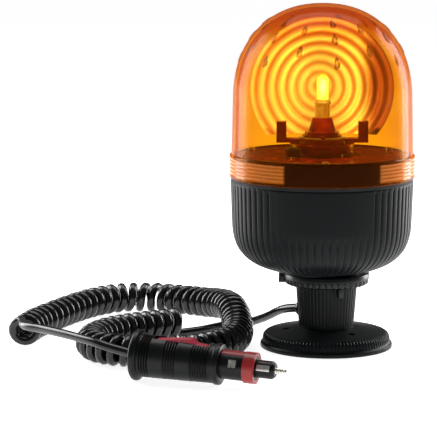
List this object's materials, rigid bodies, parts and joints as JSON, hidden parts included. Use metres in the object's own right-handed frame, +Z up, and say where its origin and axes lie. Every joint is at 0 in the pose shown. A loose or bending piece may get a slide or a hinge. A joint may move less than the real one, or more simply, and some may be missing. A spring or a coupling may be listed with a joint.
{
  "type": "rotating warning beacon",
  "caption": "Rotating warning beacon: amber lens over a revolving reflector and bulb, fluted cup on a magnetic foot, curly cord to a vehicle plug.",
  "frame": {"origin": "on the floor under the axis of the lens and the reflector", "axes": "+Z up through the crown of the lens; the reflector at rest faces -Y; the plug lies towards -X and -Y"},
  "size_m": [0.2909, 0.287, 0.246],
  "materials": {
    "black_abs": "moulded, fluted",
    "foot_rubber": "matt",
    "zinc_steel": "zinc plated",
    "ferrite": "ground ceramic magnet",
    "black_screw": "blackened",
    "amber_lens": "moulded transparent",
    "dish_mirror": "vacuum metallised",
    "dark_plastic": "moulded",
    "bronze": "sintered",
    "contact_brass": "stamped",
    "roller_rubber": "ground",
    "holder_ceramic": "moulded",
    "quartz_glass": "clear",
    "tungsten": "wound wire",
    "block_nylon": "moulded",
    "suppressor_sleeve": "shrink sleeve",
    "wire_sleeve": "extruded",
    "cord_pvc": "extruded, satin",
    "plug_plastic": "moulded, fine ribs",
    "red_plastic": "moulded",
    "nickel_contact": "nickel plated"
  },
  "bodies": {
    "foot": {"foot_pad": "foot_rubber", "foot_cover": "black_abs", "magnet_cup": "zinc_steel", "ring_magnet": "ferrite", "foot_screws": "black_screw", "stem": "black_abs", "cord_grommet": "foot_rubber", "cup_shell": "black_abs", "lens_gasket": "foot_rubber", "chassis_plate": "dark_plastic", "chassis_screws": "zinc_steel", "drive_motor": "zinc_steel", "motor_screws": "zinc_steel", "bearing_post": "dark_plastic", "retaining_clip": "zinc_steel", "bulb_holder": "holder_ceramic", "bulb_contact": "contact_brass", "bulb_base": "nickel_contact", "bulb_glass": "quartz_glass", "filament": "tungsten", "terminal_block": "block_nylon", "suppressor": "suppressor_sleeve", "hookup_wires": "wire_sleeve", "inner_cable": "cord_pvc", "cord_lead": "cord_pvc", "cord_coil": "cord_pvc", "cord_tail": "cord_pvc", "plug_grip": "plug_plastic", "plug_flange": "plug_plastic", "plug_barrel": "plug_plastic", "plug_fuse": "nickel_contact", "fuse_spring": "zinc_steel", "plug_nose": "plug_plastic", "nose_contacts": "nickel_contact", "switch_pin": "zinc_steel"},
    "lock_collar": {"lock_ring": "black_abs"},
    "lens": {"lens_dome": "amber_lens"},
    "rotor": {"reflector_carrier": "dark_plastic", "reflector": "dish_mirror", "bearing_bush": "bronze"},
    "roller": {"roller_shaft": "zinc_steel", "drive_roller": "roller_rubber"},
    "adapter": {"plug_adapter": "red_plastic"},
    "tip": {"plug_tip_pin": "nickel_contact"},
    "contact_near": {"side_contact_near": "nickel_contact"},
    "contact_far": {"side_contact_far": "nickel_contact"},
    "rocker": {"switch_rocker": "red_plastic"}
  },
  "joints": [
    {"name": "reflector_spin", "type": "hinge", "parent": "foot", "child": "rotor", "pos_m": [0, 0, 0.145], "axis": [0, 0, 1], "continuous": true},
    {"name": "roller_spin", "type": "hinge", "parent": "foot", "child": "roller", "pos_m": [-0.02127, -0.01915, 0.14], "axis": [0, 0, 1], "continuous": true},
    {"name": "lens_lift", "type": "slide", "parent": "foot", "child": "lens", "axis": [0, 0, 1], "range_m": [0, 0.13]},
    {"name": "lock_turn", "type": "hinge", "parent": "foot", "child": "lock_collar", "pos_m": [0.0038, 0, 0.05], "axis": [0, 0, 1], "range_deg": [0, 30]},
    {"name": "adapter_pull", "type": "slide", "parent": "foot", "child": "adapter", "axis": [0.9501, -0.3087, -0.0454], "range_m": [0, 0.03]},
    {"name": "tip_press", "type": "slide", "parent": "foot", "child": "tip", "axis": [-0.9501, 0.3087, 0.0454], "range_m": [0, 0.003], "stiffness_N_per_m": 300, "springref_m": -0.002},
    {"name": "contact_near_press", "type": "slide", "parent": "foot", "child": "contact_near", "axis": [0.2756, 0.8985, -0.3417], "range_m": [0, 0.0009], "stiffness_N_per_m": 300, "springref_m": -0.001},
    {"name": "contact_far_press", "type": "slide", "parent": "foot", "child": "contact_far", "axis": [-0.2756, -0.8985, 0.3417], "range_m": [0, 0.0009], "stiffness_N_per_m": 300, "springref_m": -0.001},
    {"name": "switch_rock", "type": "hinge", "parent": "foot", "child": "rocker", "pos_m": [-0.09733, -0.12162, 0.02445], "axis": [0.309, 0.9511, 0], "range_deg": [-3, 3]}
  ],
  "couplings": [
    {"joint": "roller_spin", "follows": "reflector_spin", "ratio": -4}
  ]
}
